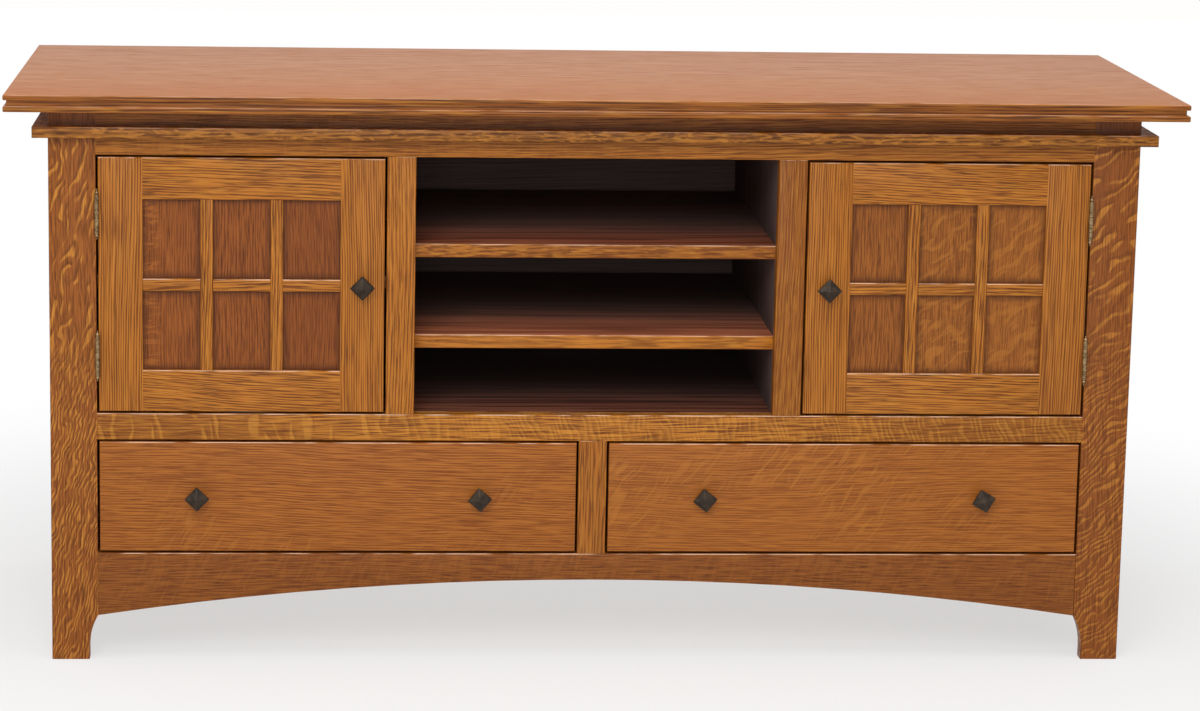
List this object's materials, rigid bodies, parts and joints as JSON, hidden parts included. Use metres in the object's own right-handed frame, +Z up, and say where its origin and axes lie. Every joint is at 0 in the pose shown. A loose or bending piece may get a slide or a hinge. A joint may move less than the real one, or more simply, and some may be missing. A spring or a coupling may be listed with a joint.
{
  "type": "tv stand",
  "caption": "Mission-style oak media console with inset panelled doors, an open shelf bay, drawers on slides, an arched apron and a grooved overhanging top.",
  "frame": {"origin": "on the floor, under the middle of the top", "axes": "+X to the right seen from the front, +Y to the back, +Z up; the doors face -Y"},
  "size_m": [1.524, 0.559, 0.754],
  "materials": {
    "oak_top": "stained quarter-sawn oak under satin lacquer",
    "oak_frame": "stained quarter-sawn oak with ray fleck under satin lacquer",
    "oak_door": "stained straight-grained oak under satin lacquer",
    "oak_panel": "darker stained oak under satin lacquer",
    "oak_drawer": "stained oak, grain across, under satin lacquer",
    "oak_inside": "dark stained oak, thin lacquer",
    "plain_wood": "unstained secondary wood",
    "maple_box": "clear lacquered maple",
    "dark_bronze": "oil-rubbed dark bronze",
    "antique_brass": "antique brass",
    "zinc_steel": "zinc plated steel",
    "brown_plastic": "brown moulded plastic"
  },
  "bodies": {
    "case": {"arched_apron": "oak_frame", "back_panel": "oak_inside", "bay_dividers": "oak_inside", "bay_shelves": "oak_inside", "bottom_panel": "plain_wood", "cabinet_deck": "oak_inside", "cabinet_shelves": "oak_inside", "cornice_front": "oak_frame", "cornice_returns": "oak_frame", "drawer_partition": "plain_wood", "hinge_leg_leaves": "antique_brass", "hinge_pins": "antique_brass", "left_end_panel": "oak_panel", "left_end_rails": "oak_frame", "left_end_stile": "oak_frame", "left_front_leg": "oak_frame", "left_rear_leg": "oak_frame", "magnetic_catches": "brown_plastic", "middle_rail": "oak_frame", "mullions": "oak_frame", "right_end_panel": "oak_panel", "right_end_rails": "oak_frame", "right_end_stile": "oak_frame", "right_front_leg": "oak_frame", "right_rear_leg": "oak_frame", "shelf_pins": "zinc_steel", "slide_blocks": "plain_wood", "slide_case_members": "zinc_steel", "top_rail": "oak_frame", "top_slab": "oak_top"},
    "left_door": {"left_door_hinge_leaves": "antique_brass", "left_door_hinge_stile": "oak_door", "left_door_knob": "dark_bronze", "left_door_knob_stile": "oak_door", "left_door_muntins": "oak_door", "left_door_panel": "oak_panel", "left_door_rails": "oak_door", "left_door_strike": "zinc_steel"},
    "left_drawer": {"left_drawer_bottom": "maple_box", "left_drawer_box_ends": "maple_box", "left_drawer_front": "oak_drawer", "left_drawer_knobs": "dark_bronze", "left_drawer_sides": "maple_box", "left_slide_drawer_members": "zinc_steel"},
    "left_slides": {"left_slide_middle_members": "zinc_steel"},
    "right_door": {"right_door_hinge_leaves": "antique_brass", "right_door_hinge_stile": "oak_door", "right_door_knob": "dark_bronze", "right_door_knob_stile": "oak_door", "right_door_muntins": "oak_door", "right_door_panel": "oak_panel", "right_door_rails": "oak_door", "right_door_strike": "zinc_steel"},
    "right_drawer": {"right_drawer_bottom": "maple_box", "right_drawer_box_ends": "maple_box", "right_drawer_front": "oak_drawer", "right_drawer_knobs": "dark_bronze", "right_drawer_sides": "maple_box", "right_slide_drawer_members": "zinc_steel"},
    "right_slides": {"right_slide_middle_members": "zinc_steel"}
  },
  "joints": [
    {"name": "left_door_hinge", "type": "hinge", "parent": "case", "child": "left_door", "pos_m": [-0.647, -0.2379, 0.502], "axis": [0, 0, -1], "range_deg": [0, 170]},
    {"name": "left_drawer_slide", "type": "slide", "parent": "case", "child": "left_drawer", "axis": [0, -1, 0], "range_m": [0, 0.45]},
    {"name": "left_middle_slide", "type": "slide", "parent": "case", "child": "left_slides", "axis": [0, -1, 0], "range_m": [0, 0.225]},
    {"name": "right_door_hinge", "type": "hinge", "parent": "case", "child": "right_door", "pos_m": [0.647, -0.2379, 0.502], "axis": [0, 0, 1], "range_deg": [0, 170]},
    {"name": "right_drawer_slide", "type": "slide", "parent": "case", "child": "right_drawer", "axis": [0, -1, 0], "range_m": [0, 0.45]},
    {"name": "right_middle_slide", "type": "slide", "parent": "case", "child": "right_slides", "axis": [0, -1, 0], "range_m": [0, 0.225]}
  ],
  "couplings": [
    {"joint": "left_middle_slide", "follows": "left_drawer_slide", "ratio": 0.5},
    {"joint": "right_middle_slide", "follows": "right_drawer_slide", "ratio": 0.5}
  ]
}
